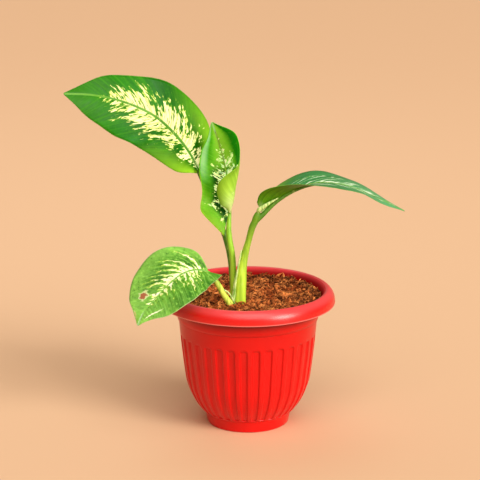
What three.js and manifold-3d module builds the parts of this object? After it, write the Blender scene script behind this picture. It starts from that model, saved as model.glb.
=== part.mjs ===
// Potted dieffenbachia: a plastic pot, the coir mix that fills it, a short buried cane and four leaves.
// Millimetres, +Z up. The origin is on the pot's axis, on the surface that the pot stands on.
// The plant is looked at along +Y, so +X is its right-hand side.

import * as THREE from 'three';
import { mergeVertices } from 'three/addons/utils/BufferGeometryUtils.js';
import Module from 'manifold-3d';

const wasm = await Module();
wasm.setup();

const degrees = Math.PI / 180;

// Pot, an eight-inch size

const lipRadius = 100;
const lipHeight = 143;
const crestRadius = 91.8;
const crestHeight = 158.9;
const footRadius = 47.2;
const footHeight = 12.4;
const collarHeight = 124.8;
const collarStep = 1.4;
const floorHeight = 5;
const roundSides = 68;
const buriedSides = 34;

// Flutes pressed into the pot's wall

const fluteCount = 34;
const fluteDepth = 1.7;
const fluteHalfWidth = 3.3;
const fluteFloorHalfWidth = 2.2;
const fluteTop = 107.4;
const fluteBottom = 15.2;
const fluteTurn = 1.7;

// Underside of the pot

const padRadius = 12;
const footInnerRadius = 40;
const recessDepth = 2;
const drainCount = 6;
const drainRadius = 4;
const drainCircle = 28;

// Soil

const soilGap = 0.5;
const soilEdgeHeight = 151.5;
const soilMiddleHeight = 147.5;
const soilLump = 1.5;
const heapX = -13;
const heapY = -46;
const heapHeight = 4;
const heapSpread = 10;
const stemClearance = 0.45;

// Cane, buried under the leaf stalks

const caneX = -13;
const caneY = -30;
const caneRadius = 14;
const caneTop = 131;
const caneBottom = 62;
const seatGap = 0.3;
const stalkFoot = caneTop + seatGap;
const stalkBend = 140;
const socketHeadroom = 1;

// Leaves

const bladeThickness = 0.8;
const bladeSteps = 21;
const halfBladeSteps = [0, 0.14, 0.36, 0.58, 0.8, 1];
const sweepPower = 1.4;
const tubeSides = 10;
const sheathSides = 6;
const midribTipRadius = 0.7;
const midribSink = 0.65;
const midribReach = 0.9;

// Each leaf: the stalk from the soil's surface up to the blade, the midrib from the blade's base to its
// tip, the direction of the blade's right half along it, and for both halves the width, how far the margin
// lies ahead of the vein's root, the fold at the midrib and the further curl out to the margin, in degrees.
// Numbers in a list are spread evenly from the base of the blade to its tip.

const leafA = {
  name: 'leaf_a',
  colour: 0x3c9a24,
  stalk: [[-16.5, -17.5, 150], [-18, -15.5, 176], [-20.5, -12, 200], [-27.5, -6, 226], [-42, 1, 262]],
  stalkRadius: [3.4, 3.3, 3.2, 3.1, 3],
  midrib: [[-56, 6, 296], [-69, 2, 321], [-88, -3, 345], [-108, -10, 363], [-138, -18, 378],
    [-169, -28, 387], [-201, -40, 391]],
  midribRadius: 2.3,
  across: [[0.35, 0.5, 0.8], [0.25, 0.5, 0.85], [0.1, 0.5, 0.85]],
  right: {
    width: [8, 40, 43, 32, 23, 11, 1], sweep: [2, 1, 20, 30, 26, 14, 0],
    fold: [12, 10, 8, 6], curl: [-10, -16, -18, -10], wave: 1, waves: 3, phase: 0.5,
  },
  left: {
    width: [5, 29, 43, 43, 34, 21, 1], sweep: [-2, -9, 14, 24, 22, 12, 0],
    fold: [10, 8, 8, 6], curl: [-10, -20, -22, -10], wave: 1, waves: 3, phase: 2,
  },
};

const leafB = {
  name: 'leaf_b',
  colour: 0x54a82c,
  stalk: [[-17, -25, 150], [-16.5, -24, 176], [-17.5, -22.5, 202], [-21.5, -20, 227]],
  stalkRadius: [3.3, 3.4, 3.4, 3.3],
  midrib: [[-21.5, -15, 249], [-21, -7, 266], [-23, -1, 284], [-26, 3, 301], [-30, 3, 319], [-35, -1, 336],
    [-40, -8, 353]],
  midribRadius: 2.2,
  across: [[0.8, -0.5, 0], [0.95, -0.25, 0.1], [1, 0, 0]],
  right: {
    width: [6, 33, 49, 40, 32, 24, 1], sweep: [3, -8, -3, 1, 9, 6, 0],
    fold: [5, -9, 9, -17], curl: [135, 235, 95, 40, 80], wave: 1, waves: 4, phase: 1,
  },
  left: {
    width: [5, 34, 31, 30, 22, 10, 1], sweep: [-25, -15, -5, 4, 7, 3, 0],
    fold: [20, 15, 10, 5], curl: [50, 40, 30, 20], wave: 1, waves: 3, phase: 0,
  },
};

const leafC = {
  name: 'leaf_c',
  colour: 0x3f9448,
  stalk: [[-9.5, -33, 150], [-8.2, -32.5, 176], [-5.5, -31.5, 198], [-0.5, -30, 221], [5.8, -28, 241.5]],
  stalkRadius: [7.1, 6.6, 4.9, 3.8, 5.2],
  midrib: [[16, -26, 253.5], [33, -20, 268], [57, -14, 280], [84, -8, 284], [115, -2, 278], [147, 4, 263],
    [178, 10, 247]],
  midribRadius: 2.8,
  across: [[0.1, -1, 0], [0, -1, 0], [0, -1, -0.05]],
  right: {
    width: [14, 28, 31, 28, 20, 9, 1], sweep: [3, -1, 6, 14, 14, 8, 0],
    fold: [80, 42, 6, 4, 0, -5], curl: [0, -10, -10, -10], wave: 0.8, waves: 3, phase: 1,
  },
  left: {
    width: [10, 23, 32.5, 35, 30, 17, 1], sweep: [4, 2, 10, 16, 16, 8, 0],
    fold: [20, 20, 16, 12, 8, 4], curl: [0, -10, -20, -10], wave: 0.8, waves: 3, phase: 0,
  },
  sheath: [[-16.5, -36, 150], [-14.5, -36, 172], [-10.5, -34.5, 194], [-7.5, -33, 212]],
};

const leafD = {
  name: 'leaf_d',
  colour: 0x4aa030,
  stalk: [[-18.5, -42, 149], [-26.5, -45, 163], [-35, -48.5, 179]],
  stalkRadius: [3.5, 3.1, 3],
  midrib: [[-45, -52, 193], [-60, -57, 196], [-74, -65, 193], [-89, -76, 183], [-104, -88, 169],
    [-114, -98, 159], [-120, -106, 147]],
  midribRadius: 2,
  across: [[0.15, 0.75, 0.65], [-0.35, 0.75, 0.6], [-0.6, 0.6, 0.5]],
  right: {
    width: [3, 28, 40, 38, 26, 10, 1], sweep: [0, 2, 10, 14, 11, 5, 0],
    fold: [20, 14, 10, 8], curl: [-10, -20, -24, -10], wave: 1, waves: 4, phase: 0,
  },
  left: {
    width: [3, 28, 36, 34, 23, 11, 1], sweep: [-17, -7, 5, 10, 9, 5, 0],
    fold: [10, 10, 8, 8], curl: [-10, -10, -14, -10], wave: 1, waves: 4, phase: 2,
  },
  sheath: [[-13.5, -42.5, 149], [-21, -44.5, 161], [-28.5, -47.5, 172]],
};

const leaves = [leafA, leafB, leafC, leafD];
const sheathRadius = 1.3;
const sheathTipRadius = 0.7;

// Closed bodies from rings of points

function closedGeometry(points, triangles) {
  const geometry = new THREE.BufferGeometry();
  geometry.setAttribute('position', new THREE.Float32BufferAttribute(points.flat(), 3));
  geometry.setIndex(triangles.flat());
  return geometry;
}

// Joins two rings of different counts by going round both at the same pace. Each ring lists its
// vertices with their share of the turn, from 0 up to 1.
function stitch(lower, upper, triangles) {
  let i = 0;
  let j = 0;
  const turn = (ring, k) => (k < ring.length ? ring[k].share : 1 + ring[0].share);
  while (i < lower.length || j < upper.length) {
    const a = lower[i % lower.length].index;
    const b = upper[j % upper.length].index;
    const lowerFirst = j >= upper.length || (i < lower.length && turn(lower, i + 1) <= turn(upper, j + 1));
    if (lowerFirst) {
      triangles.push([a, lower[(i + 1) % lower.length].index, b]);
      i += 1;
    } else {
      triangles.push([a, upper[(j + 1) % upper.length].index, b]);
      j += 1;
    }
  }
}

// Turns a list of rings into a closed body: outside rings go up, inside rings come back down, and a
// centre point closes the first and the last ring.
function ringBody(rings, firstCentre, lastCentre) {
  const points = [];
  const triangles = [];
  const indexed = rings.map((ring) => ring.map(({ point, share }) => {
    points.push(point);
    return { index: points.length - 1, share };
  }));
  for (let k = 0; k + 1 < indexed.length; k += 1) {
    stitch(indexed[k], indexed[k + 1], triangles);
  }
  const first = indexed[0];
  const last = indexed[indexed.length - 1];
  points.push(firstCentre, lastCentre);
  const firstIndex = points.length - 2;
  const lastIndex = points.length - 1;
  first.forEach((vertex, k) => {
    triangles.push([vertex.index, firstIndex, first[(k + 1) % first.length].index]);
  });
  last.forEach((vertex, k) => {
    triangles.push([vertex.index, last[(k + 1) % last.length].index, lastIndex]);
  });
  return closedGeometry(points, triangles);
}

// Booleans

function toSolid(geometry) {
  const bare = geometry.index ? geometry.clone() : mergeVertices(geometry.clone());
  bare.deleteAttribute('normal');
  bare.deleteAttribute('uv');
  const merged = mergeVertices(bare, 1e-4);
  return new wasm.Manifold(new wasm.Mesh({
    numProp: 3,
    vertProperties: new Float32Array(merged.attributes.position.array),
    triVerts: new Uint32Array(merged.index.array),
  }));
}

function toGeometry(solid) {
  const mesh = solid.getMesh();
  const geometry = new THREE.BufferGeometry();
  const positions = [];
  for (let k = 0; k < mesh.numVert; k += 1) {
    for (let axis = 0; axis < 3; axis += 1) {
      positions.push(mesh.vertProperties[k * mesh.numProp + axis]);
    }
  }
  geometry.setAttribute('position', new THREE.Float32BufferAttribute(positions, 3));
  geometry.setIndex(Array.from(mesh.triVerts));
  return geometry;
}

function place(x, y, z, geometry) {
  return geometry.translate(x, y, z);
}

// Pot

function roundRing(radius, height, sides = roundSides) {
  const ring = [];
  for (let k = 0; k < sides; k += 1) {
    const share = k / sides;
    const angle = share * 2 * Math.PI;
    ring.push({ share, point: [radius * Math.cos(angle), radius * Math.sin(angle), height] });
  }
  return ring;
}

// Four points a flute: the two shoulders of the land and the two corners of the channel's floor.
function flutedRing(radius, height) {
  const pitch = 360 / fluteCount;
  const full = height < fluteTop && height > fluteBottom;
  const depth = full ? fluteDepth : 0;
  const corners = [
    [-fluteHalfWidth, 0], [-fluteFloorHalfWidth, depth], [fluteFloorHalfWidth, depth], [fluteHalfWidth, 0],
  ];
  const ring = [];
  for (let k = 0; k < fluteCount; k += 1) {
    for (const [offset, inset] of corners) {
      const turn = fluteTurn + k * pitch + offset;
      const angle = turn * degrees;
      const reach = radius - inset;
      ring.push({ share: turn / 360, point: [reach * Math.cos(angle), reach * Math.sin(angle), height] });
    }
  }
  return ring;
}

const underside = [[padRadius, 0], [padRadius + 0.8, recessDepth], [footInnerRadius - 0.8, recessDepth],
  [footInnerRadius, 0], [footRadius - 0.6, 0], [footRadius, 0.8], [footRadius + 2.5, footHeight]];
const flutedWall = [[52.6, fluteBottom], [54.9, 17.7], [60.3, 25.1], [64.5, 32.5], [67.7, 39.9], [70.2, 47.2],
  [71.9, 54.6], [73.9, 69.2], [75.7, 84], [77.5, 101.8], [78, fluteTop]];
const rimOutside = [[78.5, 113], [79.5, collarHeight - 0.3], [79.5 + collarStep, collarHeight + 0.3],
  [82.8, lipHeight - 3], [84.4, 149.5], [88, 153.4], [94.5, 152.6], [98, 148], [98.6, lipHeight],
  [lipRadius, lipHeight], [lipRadius, 145.6], [98.8, 151], [96, 156], [crestRadius, crestHeight]];
const insideRim = [[88.4, 157.6], [86.6, 154.6], [84.2, 149], [81.2, lipHeight], [77.6, collarHeight]];
const insideBuried = [[75.1, 101.8], [71.2, 69.2], [69.3, 54.6], [65.1, 39.9],
  [57.7, 25.1], [51, 16], [46, 8], [42, floorHeight]];
const inside = [...insideRim, ...insideBuried];

function potWall(rows, makeRing) {
  return rows.map(([radius, height]) => makeRing(radius, height));
}

function makePot() {
  const rings = [
    ...potWall(underside, roundRing), ...potWall(flutedWall, flutedRing),
    ...potWall(rimOutside, roundRing), ...potWall(insideRim, roundRing),
    ...potWall(insideBuried, (radius, height) => roundRing(radius, height, buriedSides)),
  ];
  let solid = toSolid(ringBody(rings, [0, 0, 0], [0, 0, floorHeight]));
  for (let k = 0; k < drainCount; k += 1) {
    const angle = (k / drainCount) * 2 * Math.PI;
    const drill = new THREE.CylinderGeometry(drainRadius, drainRadius, 20, 12).rotateX(Math.PI / 2);
    place(drainCircle * Math.cos(angle), drainCircle * Math.sin(angle), 0, drill);
    solid = solid.subtract(toSolid(drill));
  }
  return toGeometry(solid);
}

// Leaf stalks and blades

const toVectors = (list) => list.map((point) => new THREE.Vector3(...point));

function along(list, t) {
  return new THREE.CatmullRomCurve3(toVectors(list), false, 'catmullrom', 0.5).getPoint(t);
}

function value(list, t) {
  return along(list.map((number) => [number, 0, 0]), t).x;
}

function bladeFrame(leaf, t) {
  const step = 1e-3;
  const ahead = along(leaf.midrib, Math.min(t + step, 1));
  const behind = along(leaf.midrib, Math.max(t - step, 0));
  const forward = ahead.sub(behind).normalize();
  const right = along(leaf.across, t);
  right.addScaledVector(forward, -right.dot(forward)).normalize();
  const upper = new THREE.Vector3().crossVectors(right, forward);
  return { origin: along(leaf.midrib, t), forward, right, upper };
}

// A point of the blade: t runs from base to tip, s from the midrib at 0 to the margin at 1.
function bladePoint(leaf, half, side, t, s) {
  const { origin, forward, right, upper } = bladeFrame(leaf, t);
  const width = value(half.width, t);
  const fold = value(half.fold, t) * degrees;
  const rawCurl = value(half.curl, t) * degrees;
  const curl = Math.abs(rawCurl) < 1e-3 ? 1e-3 : rawCurl;
  const out = (width * (Math.sin(fold + curl * s) - Math.sin(fold))) / curl;
  const fade = Math.min(1, 8 * t * (1 - t));
  const ripple = half.wave * s * s * fade * Math.sin(2 * Math.PI * half.waves * t + half.phase);
  const up = (width * (Math.cos(fold) - Math.cos(fold + curl * s))) / curl + ripple;
  return origin
    .addScaledVector(forward, value(half.sweep, t) * s ** sweepPower)
    .addScaledVector(right, side * out)
    .addScaledVector(upper, up);
}

// Both faces of the blade are split into triangles alike, and their edges are joined all round.
function makeBlade(leaf) {
  const across = [
    ...halfBladeSteps.slice(1).reverse().map((s) => [leaf.left, -1, s]),
    ...halfBladeSteps.map((s) => [leaf.right, 1, s]),
  ];
  const middle = [];
  for (let i = 0; i <= bladeSteps; i += 1) {
    middle.push(across.map(([half, side, s]) => bladePoint(leaf, half, side, i / bladeSteps, s)));
  }
  const last = across.length - 1;
  const normals = middle.map((row, i) => row.map((point, j) => {
    const alongway = middle[Math.min(i + 1, bladeSteps)][j].clone().sub(middle[Math.max(i - 1, 0)][j]);
    const sideway = row[Math.min(j + 1, last)].clone().sub(row[Math.max(j - 1, 0)]);
    return sideway.cross(alongway).normalize();
  }));
  const points = [];
  for (const face of [0.5, -0.5]) {
    middle.forEach((row, i) => row.forEach((point, j) => {
      points.push(point.clone().addScaledVector(normals[i][j], face * bladeThickness).toArray());
    }));
  }
  const columns = last + 1;
  const lowerStart = columns * (bladeSteps + 1);
  const upperIndex = (i, j) => i * columns + j;
  const lowerIndex = (i, j) => lowerStart + upperIndex(i, j);
  const triangles = [];
  for (let i = 0; i < bladeSteps; i += 1) {
    for (let j = 0; j < last; j += 1) {
      triangles.push([upperIndex(i, j), upperIndex(i, j + 1), upperIndex(i + 1, j + 1)]);
      triangles.push([upperIndex(i, j), upperIndex(i + 1, j + 1), upperIndex(i + 1, j)]);
      triangles.push([lowerIndex(i, j), lowerIndex(i + 1, j + 1), lowerIndex(i, j + 1)]);
      triangles.push([lowerIndex(i, j), lowerIndex(i + 1, j), lowerIndex(i + 1, j + 1)]);
    }
  }
  const rim = [];
  for (let j = 0; j < last; j += 1) rim.push([0, j]);
  for (let i = 0; i < bladeSteps; i += 1) rim.push([i, last]);
  for (let j = last; j > 0; j -= 1) rim.push([bladeSteps, j]);
  for (let i = bladeSteps; i > 0; i -= 1) rim.push([i, 0]);
  rim.forEach(([i, j], k) => {
    const [nextI, nextJ] = rim[(k + 1) % rim.length];
    triangles.push([upperIndex(i, j), lowerIndex(i, j), lowerIndex(nextI, nextJ)]);
    triangles.push([upperIndex(i, j), lowerIndex(nextI, nextJ), upperIndex(nextI, nextJ)]);
  });
  return closedGeometry(points, triangles);
}

// A round tube that tapers along a smooth path, with flat ends.
function makeTube(path, radii, extra = 0, sides = tubeSides) {
  const curve = new THREE.CatmullRomCurve3(toVectors(path), false, 'catmullrom', 0.5);
  const steps = 2 * (path.length - 1);
  const rings = [];
  let normal = new THREE.Vector3(0, 1, 0);
  for (let i = 0; i <= steps; i += 1) {
    const t = i / steps;
    const centre = curve.getPoint(t);
    const tangent = curve.getTangent(t);
    normal = normal.clone().addScaledVector(tangent, -normal.dot(tangent)).normalize();
    const side = new THREE.Vector3().crossVectors(tangent, normal);
    const radius = value(radii, t) + extra;
    const ring = [];
    for (let k = 0; k < sides; k += 1) {
      const angle = (k / sides) * 2 * Math.PI;
      const point = centre.clone()
        .addScaledVector(normal, radius * Math.cos(angle))
        .addScaledVector(side, radius * Math.sin(angle));
      ring.push({ share: k / sides, point: point.toArray() });
    }
    rings.push(ring);
  }
  return ringBody(rings, curve.getPoint(0).toArray(), curve.getPoint(1).toArray());
}

// Below the surface the stalk goes straight down to the top of the cane.
function buriedStalk(leaf, foot) {
  const [x, y] = leaf.stalk[0];
  const radius = leaf.stalkRadius[0];
  return { path: [[x, y, foot], [x, y, stalkBend]], radii: [radius, radius] };
}

// The stalk runs on under the blade as its midrib, and grows thinner toward the tip.
function stalkPath(leaf, foot = stalkFoot) {
  const buried = buriedStalk(leaf, foot);
  const path = [...buried.path, ...leaf.stalk];
  const radii = [...buried.radii, ...leaf.stalkRadius];
  const midribSteps = 6;
  for (let k = 0; k <= midribSteps; k += 1) {
    const t = (k / midribSteps) * midribReach;
    const { origin, upper } = bladeFrame(leaf, t);
    const radius = THREE.MathUtils.lerp(leaf.midribRadius, midribTipRadius, t / midribReach);
    path.push(origin.addScaledVector(upper, -radius * midribSink).toArray());
    radii.push(radius);
  }
  return { path, radii };
}

function makeLeaf(leaf) {
  const { path, radii } = stalkPath(leaf);
  let solid = toSolid(makeBlade(leaf)).add(toSolid(makeTube(path, radii)));
  if (leaf.sheath) {
    const edge = makeTube(leaf.sheath, [sheathRadius, sheathTipRadius], 0, sheathSides);
    solid = solid.add(toSolid(edge));
  }
  return toGeometry(solid);
}

// Cane and soil

function makeCane() {
  const height = caneTop - caneBottom;
  const cane = new THREE.CylinderGeometry(caneRadius, caneRadius * 0.8, height, 20).rotateX(Math.PI / 2);
  return toGeometry(toSolid(place(caneX, caneY, caneBottom + height / 2, cane)));
}

function soilHeight(x, y) {
  const reach = Math.min(1, Math.hypot(x, y) / 80);
  const level = THREE.MathUtils.lerp(soilMiddleHeight, soilEdgeHeight, reach ** 4);
  const lumps = Math.sin(x * 0.31 + 1.7 * Math.sin(y * 0.17)) * Math.cos(y * 0.29 + 1.3 * Math.sin(x * 0.13));
  const fromHeap = Math.hypot(x - heapX, y - heapY) / heapSpread;
  return level + soilLump * lumps + heapHeight * Math.exp(-0.5 * fromHeap ** 2);
}

function insideRadiusAt(height) {
  const rows = inside;
  for (let k = 0; k + 1 < rows.length; k += 1) {
    const [upperRadius, upperHeight] = rows[k];
    const [lowerRadius, lowerHeight] = rows[k + 1];
    if (height <= upperHeight && height >= lowerHeight) {
      const share = (height - lowerHeight) / (upperHeight - lowerHeight);
      return THREE.MathUtils.lerp(lowerRadius, upperRadius, share);
    }
  }
  return rows[rows.length - 1][0];
}

function soilRing(radius, heightAt) {
  return roundRing(radius, 0, buriedSides).map(({ share, point: [x, y] }) => (
    { share, point: [x, y, heightAt(x, y)] }
  ));
}

function makeSoil() {
  const rows = inside.filter(([, height]) => height <= lipHeight).reverse();
  const rings = rows.map(([radius, height], k) => {
    const lift = k === 0 ? soilGap : 0;
    return soilRing(radius - soilGap / Math.cos(Math.PI / buriedSides), () => height + lift);
  });
  const edgeRadius = insideRadiusAt(soilEdgeHeight - soilLump) - 2 * soilGap;
  const topRings = 8;
  for (let k = topRings; k >= 1; k -= 1) {
    rings.push(soilRing((edgeRadius * k) / topRings, soilHeight));
  }
  let solid = toSolid(ringBody(rings, [0, 0, floorHeight + soilGap], [0, 0, soilHeight(0, 0)]));
  for (const leaf of leaves) {
    const { path, radii } = stalkPath(leaf, stalkFoot - stemClearance);
    const hole = makeTube(path.slice(0, 5), radii.slice(0, 5), stemClearance);
    solid = solid.subtract(toSolid(hole));
    if (leaf.sheath) {
      const foot = new THREE.Vector3(...leaf.sheath[0]);
      const down = foot.clone().sub(new THREE.Vector3(...leaf.sheath[1])).setLength(stemClearance);
      const slotPath = [foot.add(down).toArray(), ...leaf.sheath.slice(1)];
      const slot = makeTube(slotPath, [sheathRadius, sheathTipRadius], stemClearance, sheathSides);
      solid = solid.subtract(toSolid(slot));
    }
  }
  const height = caneTop - caneBottom;
  const socketRadius = caneRadius + stemClearance;
  const socket = new THREE.CylinderGeometry(socketRadius, socketRadius, height + 2 * socketHeadroom, 20);
  place(caneX, caneY, caneBottom + height / 2, socket.rotateX(Math.PI / 2));
  return toGeometry(solid.subtract(toSolid(socket)));
}

// The assembled plant

const group = new THREE.Group();

function addPiece(name, geometry, color, roughness, metalness = 0) {
  const material = new THREE.MeshStandardMaterial({ color, roughness, metalness });
  const mesh = new THREE.Mesh(geometry, material);
  mesh.name = name;
  group.add(mesh);
}

addPiece('pot', makePot(), 0xd8201c, 0.4);
addPiece('soil', makeSoil(), 0x8a4a20, 1);
addPiece('cane', makeCane(), 0x8fa850, 0.7);
for (const leaf of leaves) {
  addPiece(leaf.name, makeLeaf(leaf), leaf.colour, 0.45);
}

export default group;
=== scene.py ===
# Potted dieffenbachia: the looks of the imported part, in Blender.
# Lengths are millimetres and become metres as each mesh is made. +Z is up and the plant is seen along +Y.

import random
from math import cos, exp, hypot, pi, radians, sin, sqrt
from types import SimpleNamespace

import bpy
from mathutils import Euler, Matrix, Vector, noise


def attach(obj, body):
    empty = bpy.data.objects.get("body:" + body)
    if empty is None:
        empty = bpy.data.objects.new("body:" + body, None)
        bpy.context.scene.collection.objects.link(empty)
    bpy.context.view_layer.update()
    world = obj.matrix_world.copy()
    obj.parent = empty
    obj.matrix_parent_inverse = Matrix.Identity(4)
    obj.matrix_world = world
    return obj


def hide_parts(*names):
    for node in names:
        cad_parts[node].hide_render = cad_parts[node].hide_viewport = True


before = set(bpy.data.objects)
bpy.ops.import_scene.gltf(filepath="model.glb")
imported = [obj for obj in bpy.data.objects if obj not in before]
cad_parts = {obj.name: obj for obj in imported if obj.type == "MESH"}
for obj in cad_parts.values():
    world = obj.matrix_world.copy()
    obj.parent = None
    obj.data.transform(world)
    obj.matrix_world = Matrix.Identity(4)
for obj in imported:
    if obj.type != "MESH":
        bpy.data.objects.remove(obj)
scene = bpy.context.scene
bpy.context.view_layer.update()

METRES = 0.001

# Camera, set as the photograph was taken

CAMERA_DISTANCE = 2000
CAMERA_HEIGHT = 745.2
CAMERA_PITCH = 0.259
SENSOR_WIDTH = 36
LENS = 136.49
SHIFT_X = -0.0165

# Pot: radius and height of its outline, from the middle of the underside to the middle of the floor

FLUTES = 34
FLUTE_COLUMNS = [-3.35, -3.12, -2.9, -2.65, -1.6, 0, 1.6, 2.65, 2.9, 3.12, 3.35, 4.2, 5.3, 6.4]
FLUTE_TURN = 1.7
FLUTE_DEPTH = 1.7
FLUTE_HALF_WIDTH = 3.35
FLUTE_EDGE = 0.95
FLUTE_CORNER = 2.6
FLUTE_BOTTOM = 15.6
FLUTE_TOP = 107.4
FLUTE_FOOT_SLOPE = 0.9

UNDERSIDE = [(0, 0), (12, 0), (12.8, 2), (39.2, 2), (40, 0), (46.4, 0), (47.0, 0.4), (47.2, 1)]
FOOT = [(47.2, 1), (48.2, 6), (49.4, 11.6), (49.9, 13.2), (50.9, 14.2), (52.6, 15.2)]
WALL = [(52.6, 15.2), (54.9, 17.7), (60.3, 25.1), (64.5, 32.5), (67.7, 39.9), (70.2, 47.2), (71.9, 54.6),
        (73.9, 69.2), (75.7, 84), (77.2, 98), (78, 107.4)]
UPPER_WALL = [(78, 107.4), (78.5, 113), (79.3, 123), (79.5, 124.5)]
COLLAR = [(79.5, 124.5), (80.9, 125)]
COLLAR_WALL = [(80.9, 125), (82.8, 140), (84.4, 149.5), (88, 153.4), (94.5, 152.6), (98, 148), (98.6, 143.2)]
LIP_EDGE = [(98.6, 143.2), (99.2, 142.9), (99.8, 143.2)]
LIP = [(99.8, 143.2), (99.9, 145.6), (98.8, 151), (96, 155.8), (91.8, 158.8), (88.4, 157.6), (86.6, 154.6),
       (84.2, 149), (81.2, 143), (77.6, 124.8)]
INSIDE = [(77.6, 124.8), (75.1, 101.8), (71.2, 69.2), (69.3, 54.6), (65.1, 39.9), (57.7, 25.1), (51, 16),
          (46, 8), (42, 5), (0, 5)]
DRAINS = 6
DRAIN_RADIUS = 4
DRAIN_CIRCLE = 28
DRAIN_SIDES = 24
DRAIN_HEIGHTS = (-5, 12)
WALL_ROWS = 60
WALL_TOP_START = 0.9
WALL_TOP_STEP = 0.006
WALL_TOP_ROWS = 17
LIP_STEPS = 4
INNER_LIP_PARTS = 5
SHINY_ROWS_INSIDE = 3

# Name, shine and roughness of the pot's outside, lip and inside

POT_FINISHES = [("red_plastic", 0.36, 0.31), ("red_plastic_lip", 0.65, 0.33),
                ("red_plastic_inside", 0.05, 0.6)]

# Painted sheen on the pot's crest, paler toward the top in place of a reflection, with its fade in metres.
# Painted shade under the lip, at the collar step and inside, and a painted highlight along the lip's lower
# edge: how strong each is, from 0 to 1, and the heights or rows that it fades over

POT_CREST_SHEEN_STRENGTH = 0.18
POT_CREST_SHEEN_FADE = (0.15, 0.157)
PAINTED_SHADE_AT_STEP = 0.95
PAINTED_SHADE_UNDER_LIP = 0.8
PAINTED_SHADE_UNDER_LIP_FADE = (129, 139)
PAINTED_SHADE_INSIDE = 0.6
PAINTED_SHADE_INSIDE_FADE = (158, 153)
LIP_EDGE_HIGHLIGHT = 0.8
LIP_EDGE_HIGHLIGHT_MIDDLE = 1.5
LIP_EDGE_HIGHLIGHT_FADE = (3.5, 0.5)

# Soil. A heap and a pile have a place, a height and a spread.

SOIL_EDGE_HEIGHT = 151.5
SOIL_MIDDLE_HEIGHT = 147.5
SOIL_REACH = 80
SOIL_LUMP = 1.5
LUMPS_ALONG_X = (0.31, 1.7, 0.17)
LUMPS_ALONG_Y = (0.29, 1.3, 0.13)
SOIL_HEAP = ((-13, -46), 4, 10)
CHIP_PILE = ((-2, -42), 3, 4)
SOIL_OUTLINE = [(41.5, 5.5), (45.5, 8.5), (57.1, 25.6), (64.5, 40.3), (68.7, 54.9), (70.6, 69.5), (74.5, 102),
                (77, 125), (80.6, 143), (83.6, 150)]
SOIL_COLUMNS = 150
SOIL_RINGS = 42
SOIL_EDGE_INSET = 0.3
CRUMBLE_SCALE = 0.16
CRUMBLE_FRACTAL = (0.9, 2.1, 4)
CRUMBLE_SINK = 1
CRUMBLE_HEIGHT = 2

CHIPS = 14000
CHIP_SEED = 11
CHIP_REACH = 83.2
CHIP_LIMIT = 156
CHIP_SIZE = 0.6
CHIP_SIZE_SPREAD = 2
CHIP_SIZE_POWER = 2.5
CHIP_SHAPE = ((0.9, 2.6), (0.4, 0.8), (0.3, 0.6))
CHIP_TILT = 0.5
CHIP_SHAKE = (0.75, 1.2)
CHIP_LIFT = (-1.4, 0.8)
CHIP_TONE = 0.57
CHIP_TONE_SPREAD = 0.45
CLUMP_LAYER = 3
CLUMP_SCALE = 0.13
CLUMP_FRACTAL = (0.8, 2, 3)
CLUMP_HEIGHT = 3
CLUMP_TONE = 0.8
# Chips darker toward the pot's rim: painted shade from the rim
RIM_PAINTED_SHADE = 0.36
RIM_PAINTED_SHADE_FADE = (35, 80)

FIBRES = 900
FIBRE_SEED = 5
FIBRE_SIDES = 4
FIBRE_STEPS = 6
FIBRE_REACH = 81
FIBRE_LIMIT = 82.5
FIBRE_LIFT = 0.6
FIBRE_LENGTH = (4, 11)
FIBRE_THICKNESS = (0.14, 0.3)
FIBRE_TONE = (0.1, 1)
FIBRE_TAPER = 0.6
FIBRE_RISE = (0, 0.8)
FIBRE_BEND = 0.5
FIBRE_SAG = -0.6
FIBRE_DROOP = 0.4

# Leaves, as in the part's source: the stalk, the midrib, the direction of the blade's right half along it,
# and for both halves the width, the lead of the margin over the vein's root, the fold at the midrib and
# the further curl. Numbers in a list are spread evenly from the blade's base to its tip. "cream" is how
# far out the cream markings reach, as a share of the half's width, and "lean" how far the side veins run
# toward the tip for each millimetre that they run out.

LEAF_A = dict(
    name="leaf_a",
    stalk=[(-16.5, -17.5, 150), (-18, -15.5, 176), (-20.5, -12, 200), (-27.5, -6, 226), (-42, 1, 262)],
    stalk_radius=[3.4, 3.3, 3.2, 3.1, 3],
    midrib=[(-56, 6, 296), (-69, 2, 321), (-88, -3, 345), (-108, -10, 363), (-138, -18, 378),
            (-169, -28, 387), (-201, -40, 391)],
    midrib_radius=2.3,
    across=[(0.35, 0.5, 0.8), (0.25, 0.5, 0.85), (0.1, 0.5, 0.85)],
    right=dict(
        width=[8, 40, 43, 32, 23, 11, 1], sweep=[2, 1, 20, 30, 26, 14, 0],
        fold=[12, 10, 8, 6], curl=[-10, -16, -18, -10], wave=(1, 3, 0.5),
        cream=[0.3, 0.4, 0.44, 0.44, 0.3, -0.35, -0.9], lean=0.35,
    ),
    left=dict(
        width=[5, 29, 43, 43, 34, 21, 1], sweep=[-2, -9, 14, 24, 22, 12, 0],
        fold=[10, 8, 8, 6], curl=[-10, -20, -22, -10], wave=(1, 3, 2),
        cream=[0.22, 0.32, 0.34, 0.4, 0.28, -0.3, -0.9], lean=0.7,
    ),
)

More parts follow.
